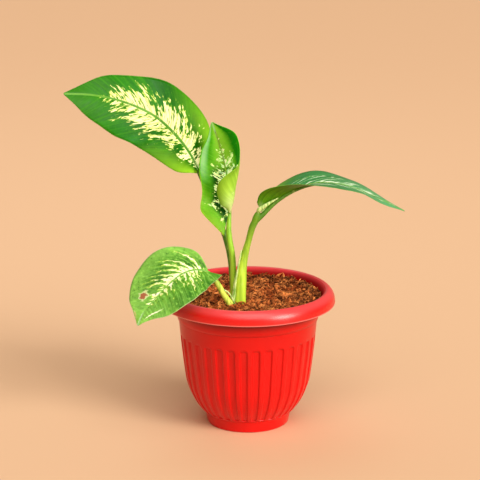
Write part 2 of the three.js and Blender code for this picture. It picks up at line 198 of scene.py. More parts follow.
LEAF_B = dict(
    name="leaf_b",
    stalk=[(-17, -25, 150), (-16.5, -24, 176), (-17.5, -22.5, 202), (-21.5, -20, 227)],
    stalk_radius=[3.3, 3.4, 3.4, 3.3],
    midrib=[(-21.5, -15, 249), (-21, -7, 266), (-23, -1, 284), (-26, 3, 301), (-30, 3, 319),
            (-35, -1, 336), (-40, -8, 353)],
    midrib_radius=2.2,
    across=[(0.8, -0.5, 0), (0.95, -0.25, 0.1), (1, 0, 0)],
    right=dict(
        width=[6, 33, 49, 40, 32, 24, 1], sweep=[3, -8, -3, 1, 9, 6, 0],
        fold=[5, -9, 9, -17], curl=[135, 235, 95, 40, 80], wave=(1, 4, 1),
        cream=[0.3, 0.2, 0.22, 0.24, 0.06, -0.3, -0.9], lean=1.1,
    ),
    left=dict(
        width=[5, 34, 31, 30, 22, 10, 1], sweep=[-25, -15, -5, 4, 7, 3, 0],
        fold=[20, 15, 10, 5], curl=[50, 40, 30, 20], wave=(1, 3, 0),
        cream=[0.5, 0.46, 0.3, 0.18, -0.1, -0.5, -0.9], lean=1.1,
    ),
)

LEAF_C = dict(
    name="leaf_c",
    stalk=[(-9.5, -33, 150), (-8.2, -32.5, 176), (-5.5, -31.5, 198), (0.3, -30, 221), (6.6, -28, 241.5)],
    stalk_radius=[7.1, 6.6, 4.9, 3.5, 3.8],
    midrib=[(16, -26, 253.5), (33, -20, 268), (57, -14, 280), (84, -8, 284), (115, -2, 278), (147, 4, 263),
            (178, 10, 247)],
    midrib_radius=2.8,
    across=[(0.1, -1, 0), (0, -1, 0), (0, -1, -0.05)],
    right=dict(
        width=[14, 28, 29, 24.5, 18, 9, 1], sweep=[3, -1, 6, 14, 14, 8, 0],
        fold=[80, 42, 6, 4, 0, -5], curl=[0, -10, -10, -10], wave=(0.8, 3, 1),
        cream=[0.1, 0.22, 0.4, 0.5, 0.48, 0.36, 0], lean=2,
    ),
    left=dict(
        width=[10, 23, 32.5, 35, 30, 17, 1], sweep=[4, 2, 10, 16, 16, 8, 0],
        fold=[20, 20, 16, 12, 8, 4], curl=[0, -10, -20, -10], wave=(0.8, 3, 0),
        cream=[0.1, 0.22, 0.4, 0.5, 0.48, 0.36, 0], lean=2,
    ),
    sheath=[(-16.5, -36, 150), (-14.5, -36, 172), (-10.5, -34.5, 194), (-7.5, -33, 212)],
    sheath_radius=2.6,
    collar=[(4.5, -28, 234), (7.4, -28, 243), (10, -27.5, 251), (14, -27, 258)],
    collar_radius=[2.6, 3.6, 3.4, 0.8],
    ruffle=[(10.6, -28.5, 254), (12.5, -29.5, 258), (18, -29.5, 262), (25, -28, 266), (34, -25, 270.5)],
    ruffle_radius=[1.2, 2.4, 2.2, 1.5, 0.5],
)

LEAF_D = dict(
    name="leaf_d",
    stalk=[(-18.5, -42, 149), (-26.5, -45, 163), (-35, -48.5, 179)],
    stalk_radius=[4.1, 3.5, 3.1],
    midrib=[(-45, -52, 193), (-60, -57, 196), (-74, -65, 193), (-89, -76, 183), (-104, -88, 169),
            (-114, -98, 159), (-120, -106, 147)],
    midrib_radius=2,
    across=[(0.15, 0.75, 0.65), (-0.35, 0.75, 0.6), (-0.6, 0.6, 0.5)],
    right=dict(
        width=[3, 28, 40, 38, 26, 10, 1], sweep=[0, 2, 10, 14, 11, 5, 0],
        fold=[20, 14, 10, 8], curl=[-10, -20, -24, -10], wave=(1, 4, 0),
        cream=[0.45, 0.62, 0.6, 0.5, 0.36, -0.3, -0.9], lean=1.1,
    ),
    left=dict(
        width=[3, 28, 36, 34, 23, 11, 1], sweep=[-17, -7, 5, 10, 9, 5, 0],
        fold=[10, 10, 8, 8], curl=[-10, -10, -14, -10], wave=(1, 4, 2),
        cream=[0.1, 0.62, 0.66, 0.45, 0.2, -0.5, -0.9], lean=0.4,
    ),
    sheath=[(-13.5, -42.5, 149), (-16.5, -44, 157), (-21, -46, 165.5), (-25.5, -47.5, 169.5),
            (-29.5, -48, 171)],
    sheath_radius=1.3,
)

SWEEP_POWER = 1.4
WAVE_RISE = 8
QUILT_RISE = 10
MIDRIB_LENGTH = 190
LEAST_CURL = 1e-3
CURVE_STEP = 1e-3
BLADE_THICKNESS = 0.7
MARGIN_THICKNESS = 0.4
BLADE_ROWS = 150
HALF_BLADE_COLUMNS = 20
COLUMN_CROWDING = 1.25
VEIN_STAGGER = 0.02
GROOVE_DEPTH = 0.5
GROOVE_NARROWNESS = 14
STALK_FOOT = 131.3
STALK_BEND = 140
STALK_SIDES = 28
STALK_ROWS = 110
MIDRIB_SINK = 0.65
MIDRIB_REACH = 0.9
MIDRIB_STEPS = 6
TIP_RADIUS = 0.7
TRIM_ROWS = 30
TRIM_SIDES = 14
COLLAR_TONES = (0.4, 0.5)
UPPER_FACE, UNDER_FACE, STALK_FACE, SHEATH_FACE = range(4)

# Looks that more than one material shares: bump strength and depth in metres, and the veins' noise

VEIN_BUMP = (0.3, 0.0004)
VEIN_ROUGHNESS = 0.55
WOBBLE_SEED = 50
STREAK_SEED = 30


def srgb(red, green, blue):
    """A colour given 0 to 255 a channel, as the linear colour that a shader takes."""
    def linear(channel):
        share = channel / 255
        return share / 12.92 if share <= 0.04045 else ((share + 0.055) / 1.055) ** 2.4
    return (linear(red), linear(green), linear(blue), 1)


BLACK = (0, 0, 0, 1)
POT_RED = srgb(219, 11, 9)
POT_DEEP_RED = srgb(212, 8, 7)
# Painted sheen on the pot's crest, in place of a reflection of the sky
POT_CREST_SHEEN = srgb(255, 140, 150)
# Painted highlight along the lip's lower edge
POT_EDGE_HIGHLIGHT = srgb(255, 150, 150)
# Painted shade on the pot: under the lip, at the collar step and inside
POT_PAINTED_SHADE = srgb(112, 0, 0)
COIR_SHADOW = srgb(28, 7, 2)
COIR_BROWN = srgb(190, 90, 37)
COIR_DARK = srgb(60, 20, 6)
COIR_PALE = srgb(255, 163, 88)
COIR_CRUMB = srgb(176, 98, 44)
CANE_GREEN = srgb(120, 130, 60)
CANE_PALE = srgb(170, 175, 110)
# Painted shade in the fold of a curled blade
CHANNEL_PAINTED_SHADE = srgb(6, 58, 8)
STALK_FLECK = srgb(205, 225, 130)
SHEATH_GREEN = srgb(128, 178, 70)
SHEATH_PALE = srgb(222, 240, 160)
FLOOR_COLOUR = srgb(228, 190, 154)
ROOM_COLOUR = srgb(250, 218, 184)


# Material graphs

class Graph:
    """A material's nodes, built from short calls that return the output socket."""

    def __init__(self, name):
        self.material = bpy.data.materials.new(name)
        self.material.use_nodes = True
        self.nodes = self.material.node_tree.nodes
        self.links = self.material.node_tree.links

    def put(self, socket, source):
        if isinstance(source, bpy.types.NodeSocket):
            self.links.new(source, socket)
        else:
            socket.default_value = source

    def fill(self, node, inputs):
        """Sets or links inputs of a node. A space in an input's name is written as _."""
        for name, source in inputs.items():
            self.put(node.inputs[name.replace("_", " ")], source)
        return node

    def node(self, kind, **inputs):
        return self.fill(self.nodes.new("ShaderNode" + kind), inputs)

    def attribute(self, name):
        node = self.node("Attribute")
        node.attribute_name = name
        return node.outputs["Fac"]

    def attributes(self, *names):
        return [self.attribute(name) for name in names]

    def place(self):
        return self.node("TexCoord").outputs["Object"]

    def maths(self, operation, first, second=0, third=0, clamp=False):
        node = self.node("Math")
        node.operation = operation
        node.use_clamp = clamp
        for socket, source in zip(node.inputs, (first, second, third)):
            self.put(socket, source)
        return node.outputs[0]

    def plus(self, first, second):
        return self.maths("ADD", first, second)

    def minus(self, first, second):
        return self.maths("SUBTRACT", first, second)

    def times(self, first, second, clamp=False):
        return self.maths("MULTIPLY", first, second, clamp=clamp)

    def sway(self, value, source, weight):
        """The value, moved up and down by a noise source of that weight."""
        return self.plus(value, self.maths("MULTIPLY_ADD", source, weight, -0.5 * weight))

    def join(self, x, y, z=0):
        return self.node("CombineXYZ", X=x, Y=y, Z=z).outputs[0]

    def stretch(self, vector, x, y, z):
        return self.node("Mapping", Vector=vector, Scale=(x, y, z)).outputs[0]

    def noise(self, vector, scale=1, detail=2, roughness=0.5):
        node = self.node("TexNoise", Vector=vector, Scale=scale, Detail=detail, Roughness=roughness)
        return node.outputs["Fac"]

    def fit(self, source, low, high, new_low=0, new_high=1):
        """Turns the range low to high into new_low to new_high with soft ends."""
        new = {"To_Min": new_low, "To_Max": new_high}
        node = self.node("MapRange", Value=source, From_Min=low, From_Max=high, **new)
        node.interpolation_type = "SMOOTHSTEP"
        return node.outputs["Result"]

    def mix(self, share, first, second):
        node = self.node("Mix")
        node.data_type = "RGBA"
        self.put(node.inputs["Factor"], share)
        self.put(node.inputs[6], first)
        self.put(node.inputs[7], second)
        return node.outputs[2]

    def tint(self, colour, toward, strength, *ranges):
        """The colour mixed toward another, where a number in each range has passed from low to high."""
        if not strength:
            return colour
        share = strength
        for limits in ranges:
            share = self.times(self.fit(*limits), share)
        return self.mix(share, colour, toward)

    def tints(self, colour, *rows):
        """The colour after each tint of a table."""
        for row in rows:
            colour = self.tint(colour, *row)
        return colour

    def bump(self, height, strength, distance):
        """The input for finish that roughens the surface."""
        node = self.node("Bump", Height=height, Strength=strength, Distance=distance)
        return {"Normal": node.outputs["Normal"]}

    def finish(self, colour, roughness, shine=0.5, **inputs):
        inputs.update(Base_Color=colour, Roughness=roughness, Specular_IOR_Level=shine)
        self.fill(self.nodes["Principled BSDF"], inputs)
        return self.material


def pot_material(name, shine, roughness):
    graph = Graph(name)
    place = graph.place()
    height = graph.node("SeparateXYZ", Vector=place).outputs["Z"]
    colour = graph.tints(
        POT_DEEP_RED,
        (POT_RED, 1, (graph.noise(place, 14, 3), 0.35, 0.65)),
        # Painted sheen: the crest paler toward its top
        (POT_CREST_SHEEN, POT_CREST_SHEEN_STRENGTH, (height, *POT_CREST_SHEEN_FADE)),
        # Painted shade: under the lip, at the collar step and inside the pot
        (POT_PAINTED_SHADE, graph.attribute("painted_shade")),
        # Painted highlight along the lip's lower edge
        (POT_EDGE_HIGHLIGHT, graph.attribute("painted_highlight")),
    )
    return graph.finish(colour, roughness, shine)


def soil_material(name, with_tone):
    graph = Graph(name)
    place = graph.place()
    patch = graph.noise(place, 60, 3)
    crumb = graph.noise(place, 420, 4, 0.65)
    tone = graph.attribute("tone") if with_tone else graph.fit(crumb, 0.3, 0.7)
    dark = graph.mix(tone, COIR_SHADOW, COIR_BROWN)
    light = graph.mix(tone, COIR_DARK, COIR_PALE)
    colour = graph.tint(dark, light, 1, (patch, 0.35, 0.65))
    colour = graph.tint(colour, COIR_CRUMB, 0.3, (crumb, 0.3, 0.75))
    return graph.finish(colour, 0.95, 0.2, **graph.bump(crumb, 0.7, 0.0012))


def cane_material():
    graph = Graph("cane_skin")
    ring = graph.noise(graph.stretch(graph.place(), 1, 1, 60), 8, 2)
    colour = graph.tint(CANE_GREEN, CANE_PALE, 1, (ring, 0.35, 0.65))
    return graph.finish(colour, 0.7, **graph.bump(ring, 0.5, 0.001))


def vein_noise(graph, look, count, length, detail=2, wobble=0):
    """Noise along the side veins: so many cells along the blade, each so many millimetres long."""
    root, across = graph.attributes("root", "across")
    root = graph.times(root, count)
    across = graph.times(across, 1 / length)
    if wobble:
        place = graph.join(graph.times(root, 0.5), graph.times(across, 2.5), look.seed + WOBBLE_SEED)
        root = graph.sway(root, graph.noise(place, 1, 2), wobble)
    place = graph.join(root, across, look.seed + count)
    return graph.noise(place, 1, detail, VEIN_ROUGHNESS)


def cream_mask(graph, look):
    """How far a point is inside the cream markings, above 0, or outside them, below 0."""
    count, length = look.tongues, look.tongue_length
    inside = graph.attribute("room")
    if look.streaks:
        inside = vein_streaks(graph, look, inside)
    else:
        tongues = vein_noise(graph, look, count, length, 2, look.wobble)
        if look.ridged:
            off_middle = graph.maths("ABSOLUTE", graph.minus(tongues, 0.5))
            tongues = graph.maths("MULTIPLY_ADD", off_middle, -8, look.thread)
            beyond = graph.times(graph.maths("MINIMUM", inside, 0), 2)
            inside = graph.maths("MULTIPLY_ADD", inside, look.thicken, beyond)
        else:
            inside = graph.plus(inside, graph.maths("MINIMUM", graph.plus(inside, look.loose), 0))
        inside = graph.sway(inside, tongues, look.swing)
    hairs = vein_noise(graph, look, count * 2.2, length * 0.5, 2, look.wobble)
    flecks = vein_noise(graph, look, count * 4, 4)
    inside = graph.sway(inside, hairs, look.hair)
    return graph.sway(inside, flecks, look.fleck)


def vein_streaks(graph, look, room):
    """Separate tapering streaks, one from each side vein, each with a length of its own."""
    out, root, across, side = graph.attributes("out", "root", "across", "side")
    root = graph.times(root, look.streaks)
    place = graph.join(root, graph.times(across, 0.14), look.seed + STREAK_SEED)
    root = graph.sway(root, graph.noise(place, 1, 2), look.wobble)
    cell = graph.maths("FLOOR", root)
    off_middle = graph.maths("ABSOLUTE", graph.minus(graph.minus(root, cell), 0.5))
    pick = graph.join(graph.times(cell, 5.37), graph.times(side, 3.1), look.seed)
    chance = graph.fit(graph.noise(pick, 1, 0), 0.3, 0.7, look.streak_short, 1.25)
    reach = graph.times(graph.plus(room, out), chance)
    left = graph.minus(reach, out)
    taper = graph.times(left, 2.2, clamp=True)
    width = graph.maths("MULTIPLY_ADD", taper, look.streak_width, 0.02)
    width = graph.plus(width, graph.fit(out, 0.22, 0.02, 0, 0.16))
    return graph.maths("MINIMUM", graph.minus(width, off_middle), graph.times(left, 0.8))


def blade_green(graph, look, lines):
    """The green of a blade: its veins, a lime base, and painted sheen, light and shade."""
    along, out, side, across = graph.attributes("along", "out", "side", "across")
    from_rib = graph.maths("ABSOLUTE", across)
    broad = vein_noise(graph, look, 5, 30)
    green = graph.tint(look.dark, look.green, 1, (broad, 0.3, 0.7))
    green = graph.tint(green, look.light, look.line, (lines, 0.42, 0.78))
    # Painted shade on one half of the blade
    if look.shaded_side:
        shaded = graph.times(side, graph.fit(out, 0.25, 0.6), clamp=True)
        green = graph.mix(shaded, green, look.shaded_side)
    return graph.tints(
        green,
        (look.lime, look.base_glow, (along, 0.4, 0), (out, 0.3, 0.9)),
        # Painted sheen: the blade lighter toward its tip
        (look.light, look.tip_glow, (along, 0.35, 0.95)),
        # Painted light in the middle of the blade, where a curled blade's hollow is in shade
        (look.light, look.centre, (out, 0.6, 0.15), (along, 0.3, 0.5)),
        # Painted sheen along one half's outer edge
        (look.light, look.rim_light, (out, 0.45, 0.95), (side, -0.5, 0.5)),
        (look.sheen, look.sheen_band, (out, 0.6, 0.84), (out, 0.99, 0.9), (along, 0.35, 0.6),
         (side, 0.5, -0.5)),
        # Painted shade in the fold where a blade's half curls over
        (CHANNEL_PAINTED_SHADE, look.channel, (out, 0.66, 0.42), (along, 0.55, 0.4)),
        (look.sheen, look.tip_sheen, (along, 0.78, 0.9), (from_rib, 1.4, 0.2)),
    )


def with_cream(graph, look, green, inside, lines):
    """The green with cream markings on it, which have a lime border and fine green slits."""
    border = graph.tint(green, look.lime, 0.4, (inside, -0.15, 0.02))
    slit = vein_noise(graph, look, look.tongues * 5, 9, 1)
    cream = graph.tints(
        look.cream_edge,
        (look.cream, 1, (inside, 0, 0.25)),
        (look.cream_edge, 0.7, (lines, 0.46, 0.6)),
        (green, look.slit, (slit, look.slit_at, look.slit_at + 0.08)),
    )
    return graph.tint(border, cream, 1, (inside, -0.01, 0.05))


def blade_material(name, look):
    graph = Graph(name)
    along, out, across = graph.attributes("along", "out", "across")
    inside = cream_mask(graph, look)
    lines = vein_noise(graph, look, 60, 70, 3)
    rib_width = graph.maths("MULTIPLY_ADD", along, -0.6 * look.rib, look.rib)
    in_rib = graph.minus(rib_width, graph.maths("ABSOLUTE", across))
    mottle = graph.noise(graph.place(), 260, 3, 0.6)
    margin = graph.tint(look.margin_colour, look.dark, look.margin_dark, (along, 0.4, 0.5))
    colour = graph.tints(
        with_cream(graph, look, blade_green(graph, look, lines), inside, lines),
        (look.rib_colour, look.rib_strength, (in_rib, -0.3, 0.3)),
        (look.light, look.mottle, (mottle, 0.5, 0.75)),
        (look.dark, look.mottle, (mottle, 0.45, 0.25)),
        (margin, look.margin, (out, 0.975, 0.995)),
    )
    for mark in look.marks:
        colour = scar(graph, colour, along, out, mark)
    extra = graph.bump(lines, *VEIN_BUMP)
    # Painted light: the cream markings glow as an emission, near the base only where a reach is given
    if look.lit_cream:
        near_base = (along, look.lit_reach, 0.5 * look.lit_reach)
        painted_glow = graph.tint(BLACK, look.cream, 1, (inside, 0, 0.1), near_base)
        extra.update(Emission_Color=painted_glow, Emission_Strength=look.lit_cream)
    roughness = graph.fit(lines, 0.3, 0.7, look.rough - 0.05, look.rough + 0.08)
    return graph.finish(colour, roughness, look.gloss, Subsurface_Weight=look.glow,
                        Subsurface_Scale=0.004, Subsurface_Radius=(0.5, 1, 0.3), **extra)


def scar(graph, colour, along, out, mark):
    """A small dry patch with a pale border, on the blade's right half or, below 0, on its left half."""
    off_along = graph.times(graph.minus(along, mark["along"]), mark["stretch"])
    off_out = graph.minus(graph.times(out, graph.attribute("side")), mark["out"])
    rag = graph.noise(graph.join(graph.times(along, 34), graph.times(out, 6)), 1, 3)
    squares = graph.plus(graph.times(off_along, off_along), graph.times(off_out, off_out))
    distance = graph.sway(graph.maths("SQRT", squares), rag, mark["rag"])
    size = mark["size"]
    return graph.tints(
        colour,
        (mark["border"], 1, (distance, 1.6 * size, 1.2 * size)),
        (mark["colour"], 1, (distance, 1.05 * size, 0.85 * size)),
    )


def underside_material(name, look):
    graph = Graph(name)
    along, out = graph.attributes("along", "out")
    inside = cream_mask(graph, look)
    lines = vein_noise(graph, look, 50, 70, 3)
    colour = graph.tints(
        look.under_dark,
        (look.under, graph.fit(lines, 0.3, 0.7, look.under_even, 1)),
        (look.under_cream, look.ghost, (inside, -0.1, 0.12)),
        (look.under_cream, look.under_glow, (along, look.glow_reach, 0.02), (out, look.glow_out, 0.2)),
        (look.under_dark, look.under_edge, (out, 0.55, 0.95)),
    )
    return graph.finish(colour, 0.5, 0.2, **graph.bump(lines, *VEIN_BUMP))


def stalk_material(name, look):
    graph = Graph(name)
    place = graph.place()
    stripe = graph.noise(graph.stretch(place, 420, 420, 14), 1, 3, 0.6)
    fleck = graph.noise(graph.stretch(place, 260, 260, 90), 1, 2, 0.5)
    colour = graph.tints(
        look.stalk_foot,
        (look.stalk_top, 1, (graph.attribute("along"), *look.stalk_fade)),
        (look.stalk_shade, 0.5, (stripe, 0.42, 0.62)),
        (STALK_FLECK, 0.35, (fleck, 0.62, 0.72)),
    )
    return graph.finish(colour, 0.42, 0.4, **graph.bump(stripe, 0.3, 0.0006))


def sheath_material():
    graph = Graph("sheath_edge")
    stripe = graph.noise(graph.stretch(graph.place(), 420, 420, 110), 1, 2)
    colour = graph.tint(SHEATH_GREEN, SHEATH_PALE, 1, (stripe, 0.35, 0.65))
    return graph.finish(colour, 0.5, **graph.bump(stripe, *VEIN_BUMP))


# Smooth curves, the same as the part's source uses

def along_curve(points, share):
    """The point at a share of the way along a smooth curve through evenly spaced points."""
    last = len(points) - 1
    position = share * last
    start = min(int(position), last - 1)
    step = position - start
    vectors = [Vector(points[k]) for k in (max(start - 1, 0), start, start + 1, min(start + 2, last))]
    if start == 0:
        vectors[0] = 2 * vectors[1] - vectors[2]
    if start + 1 == last:
        vectors[3] = 2 * vectors[2] - vectors[1]
    before, here, ahead, beyond = vectors
    leave = 0.5 * (ahead - before)
    arrive = 0.5 * (beyond - here)
    square = step * step
    cube = square * step
    return (here + leave * step + (3 * (ahead - here) - 2 * leave - arrive) * square
            + (2 * (here - ahead) + leave + arrive) * cube)


def along_list(numbers, share):
    return along_curve([(number, 0) for number in numbers], share).x


def heading(path, share):
    """The direction of a smooth path at a share of the way along it."""
    ahead = along_curve(path, min(share + CURVE_STEP, 1))
    behind = along_curve(path, max(share - CURVE_STEP, 0))
    return (ahead - behind).normalized()


def between(first, last, share):
    return first + (last - first) * share


def smooth_step(value, low, high):
    share = min(1, max(0, (value - low) / (high - low)))
    return share * share * (3 - 2 * share)


# Meshes

def add_object(name, data):
    obj = bpy.data.objects.new(name, data)
    scene.collection.objects.link(obj)
    return obj


def make_object(name, points, faces, materials, face_materials=None, numbers=None, smooth=True):
    """An object from points in millimetres, with numbers kept for each point."""
    mesh = bpy.data.meshes.new(name)
    mesh.from_pydata([tuple(METRES * c for c in point) for point in points], [], faces)
    for material in materials:
        mesh.materials.append(material)
    if face_materials:
        mesh.polygons.foreach_set("material_index", face_materials)
    mesh.polygons.foreach_set("use_smooth", [smooth] * len(mesh.polygons))
    for key, values in (numbers or {}).items():
        attribute = mesh.attributes.new(key, "FLOAT", "POINT")
        attribute.data.foreach_set("value", values)
    mesh.update()
    return add_object(name, mesh)


def ring_faces(rings, columns, start=0):
    """Quads between neighbouring rings of points."""
    faces = []
    for ring in range(rings - 1):
        low = start + ring * columns
        high = low + columns
        for k in range(columns):
            following = (k + 1) % columns
            faces.append((low + k, low + following, high + following, high + k))
    return faces


def end_faces(start, rings, columns):
    """One flat face over each end of a stack of rings."""
    last = start + (rings - 1) * columns
    return [tuple(start + k for k in reversed(range(columns))), tuple(last + k for k in range(columns))]


def close_ends(points, faces, heights, rings, columns):
    """Triangles at each end of a stack of rings, round a new point in the middle of that end."""
    for height, ring, order in zip(heights, (0, rings - 1), (-1, 1)):
        points.append((0, 0, height))
        for k in range(columns):
            pair = (ring * columns + k, ring * columns + (k + 1) % columns)
            faces.append((len(points) - 1, *pair[::order]))


def turns_of(count):
    """So many angles, evenly round a circle."""
    return [2 * pi * k / count for k in range(count)]


def on_circle(radius, turn, height=0.0):
    return (radius * cos(turn), radius * sin(turn), height)


def in_ring(centre, radius, first, second, count):
    """So many points round a centre, in the plane of two directions at right angles."""
    return [centre + first * radius * cos(turn) + second * radius * sin(turn)
            for turn in turns_of(count)]


def mound(x, y, place, height, spread):
    """How high a rounded heap is at a point."""
    distance = hypot(x - place[0], y - place[1]) / spread
    return height * exp(-0.5 * distance ** 2)


def part_of_frame(obj, node):
    """The object takes the place of a CAD node, which is hidden, and joins the root body."""
    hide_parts(node)
    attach(obj, "root")


# Pot

def plain_rows(*outlines):
    """Points on smooth curves through outlines, with so many steps between neighbours, none fluted."""
    rows = []
    for outline, pieces in outlines:
        steps = (len(outline) - 1) * pieces
        rows += [(along_curve(outline, k / steps), False) for k in range(steps)]
    return rows


def flute_depth(angle, radius, height):
    """How deep the wall is pressed in at an angle in degrees: a channel with a rounded top."""
    pitch = 360 / FLUTES
    offset = (angle - FLUTE_TURN + pitch / 2) % pitch - pitch / 2
    sideways = abs(radians(offset)) * radius
    half_width = radians(FLUTE_HALF_WIDTH) * radius
    beyond_side = sideways - (half_width - FLUTE_CORNER)
    beyond_top = height - (FLUTE_TOP - FLUTE_CORNER)
    if beyond_side > 0 and beyond_top > 0:
        from_edge = FLUTE_CORNER - hypot(beyond_side, beyond_top)
    else:
        from_edge = FLUTE_CORNER - max(beyond_side, beyond_top)
    from_edge = min(from_edge, FLUTE_FOOT_SLOPE * (height - FLUTE_BOTTOM))
    return FLUTE_DEPTH * smooth_step(from_edge, 0, FLUTE_EDGE)


def pot_rows():
    """Outline points and whether each is fluted, and the rows where the lip and the inside start."""
    wall_shares = {round(k / WALL_ROWS, 4) for k in range(WALL_ROWS)}
    wall_shares |= {round(WALL_TOP_START + k * WALL_TOP_STEP, 4) for k in range(WALL_TOP_ROWS)}
    rows = [(Vector(point), False) for point in UNDERSIDE[1:-1]]
    rows += plain_rows((FOOT, 2))
    rows += [(along_curve(WALL, share), True) for share in sorted(wall_shares)]
    rows += plain_rows((UPPER_WALL, 2), (COLLAR, 1), (COLLAR_WALL, 4))
    lip_start = len(rows)
    rows += plain_rows((LIP_EDGE, 1), (LIP, LIP_STEPS))
    inside_start = len(rows) - INNER_LIP_PARTS * LIP_STEPS
    rows += [(Vector(point), False) for point in INSIDE[:-1]]
    return rows, lip_start, inside_start


def pot_painted_shade(row, point, lip_start, inside_start):
    """How dark a row of the pot is painted: painted shade inside, at the collar step and under the lip."""
    if row >= inside_start:
        return PAINTED_SHADE_INSIDE * smooth_step(point[1], *PAINTED_SHADE_INSIDE_FADE)
    if tuple(point) == tuple(Vector(COLLAR[0])):
        return PAINTED_SHADE_AT_STEP
    if row < lip_start:
        return PAINTED_SHADE_UNDER_LIP * smooth_step(point[1], *PAINTED_SHADE_UNDER_LIP_FADE)
    return 0.0


def make_pot():
    flutes = [FLUTE_TURN + 360 / FLUTES * k for k in range(FLUTES)]
    angles = [flute + offset for flute in flutes for offset in FLUTE_COLUMNS]
    columns = len(angles)
    rows, lip_start, inside_start = pot_rows()
    points, painted_shade, painted_highlight = [], [], []
    for row, (point, fluted) in enumerate(rows):
        # Painted highlight on the rows at the lip's lower edge
        edge_highlight = LIP_EDGE_HIGHLIGHT * smooth_step(abs(row - lip_start - LIP_EDGE_HIGHLIGHT_MIDDLE), *LIP_EDGE_HIGHLIGHT_FADE)
        for angle in angles:
            radius = point[0] - (flute_depth(angle, point[0], point[1]) if fluted else 0)
            points.append(on_circle(radius, radians(angle), point[1]))
        # Painted shade of this row
        painted_shade += [pot_painted_shade(row, point, lip_start, inside_start)] * columns
        painted_highlight += [edge_highlight] * columns
    faces = ring_faces(len(rows), columns)
    finishes = []
    for ring in range(len(rows) - 1):
        finishes += [(ring >= lip_start) + (ring >= inside_start + SHINY_ROWS_INSIDE)] * columns
    close_ends(points, faces, (UNDERSIDE[0][1], INSIDE[-1][1]), len(rows), columns)
    finishes += [0] * columns + [2] * columns
    painted_shade += [0.0, 0.0]
    painted_highlight += [0.0, 0.0]
    materials = [pot_material(*finish) for finish in POT_FINISHES]
    pot = make_object("plastic_pot", points, faces, materials, finishes, {"painted_shade": painted_shade, "painted_highlight": painted_highlight})
    drill_drains(pot)
    part_of_frame(pot, "pot")


def drill_drains(pot):
    """Cuts the drain holes through the floor."""
    points, faces = [], []
    for middle in turns_of(DRAINS):
        middle_x, middle_y, _ = on_circle(DRAIN_CIRCLE, middle)
        start = len(points)
        for height in DRAIN_HEIGHTS:
            for turn in turns_of(DRAIN_SIDES):
                x, y, _ = on_circle(DRAIN_RADIUS, turn)
                points.append((middle_x + x, middle_y + y, height))
        faces += ring_faces(2, DRAIN_SIDES, start)
        faces += end_faces(start, 2, DRAIN_SIDES)
    drill = make_object("drill", points, faces, [])
    cut = pot.modifiers.new("drains", "BOOLEAN")
    cut.operation = "DIFFERENCE"
    cut.solver = "EXACT"
    cut.object = drill
    bpy.context.view_layer.objects.active = pot
    bpy.ops.object.modifier_apply(modifier=cut.name)
    bpy.data.objects.remove(drill)


# Soil

def swerve(main, cross, wave):
    """An angle that grows with one coordinate and sways with the other."""
    rate, sway, sway_rate = wave
    return main * rate + sway * sin(cross * sway_rate)


def soil_height(x, y):
    reach = min(1, hypot(x, y) / SOIL_REACH)
    level = between(SOIL_MIDDLE_HEIGHT, SOIL_EDGE_HEIGHT, reach ** 4)
    lumps = sin(swerve(x, y, LUMPS_ALONG_X)) * cos(swerve(y, x, LUMPS_ALONG_Y))
    return level + SOIL_LUMP * lumps + mound(x, y, *SOIL_HEAP)


def make_soil():
    turns = turns_of(SOIL_COLUMNS)
    points = [on_circle(radius, turn, height) for radius, height in SOIL_OUTLINE for turn in turns]
    edge = SOIL_OUTLINE[-1][0] - SOIL_EDGE_INSET
    for ring in range(SOIL_RINGS):
        radius = edge * (1 - ring / SOIL_RINGS)
        for turn in turns:
            x, y, _ = on_circle(radius, turn)
            crumble = noise.fractal(Vector((x, y, 0)) * CRUMBLE_SCALE, *CRUMBLE_FRACTAL)
            points.append((x, y, soil_height(x, y) - CRUMBLE_SINK + CRUMBLE_HEIGHT * crumble))
    rings = len(SOIL_OUTLINE) + SOIL_RINGS
    faces = ring_faces(rings, SOIL_COLUMNS)
    close_ends(points, faces, (SOIL_OUTLINE[0][1], soil_height(0, 0)), rings, SOIL_COLUMNS)
    soil = make_object("coir_bed", points, faces, [soil_material("coir_bed", False)])
    part_of_frame(soil, "soil")


CHIP_POINTS = [(1, 0, 0.25), (0.35, 0.95, -0.2), (-0.8, 0.6, 0.25), (-0.8, -0.6, -0.25), (0.35, -0.95, 0.2),
               (0, 0, 1), (0, 0, -1)]
CHIP_FACES = [(k, (k + 1) % 5, 5) for k in range(5)] + [((k + 1) % 5, k, 6) for k in range(5)]


def lay_on_soil(name, points, faces, tones, smooth):
    """Loose bits of coir as one piece, each bit with a tone of its own."""
    materials = [soil_material(name, True)]
    bits = make_object(name, points, faces, materials, numbers={"tone": tones}, smooth=smooth)
    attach(bits, "root")


def scattered(draw, reach):
    """A point picked evenly over a disc: its radius, x and y."""
    radius = reach * sqrt(draw.random())
    x, y, _ = on_circle(radius, 2 * pi * draw.random())
    return radius, x, y


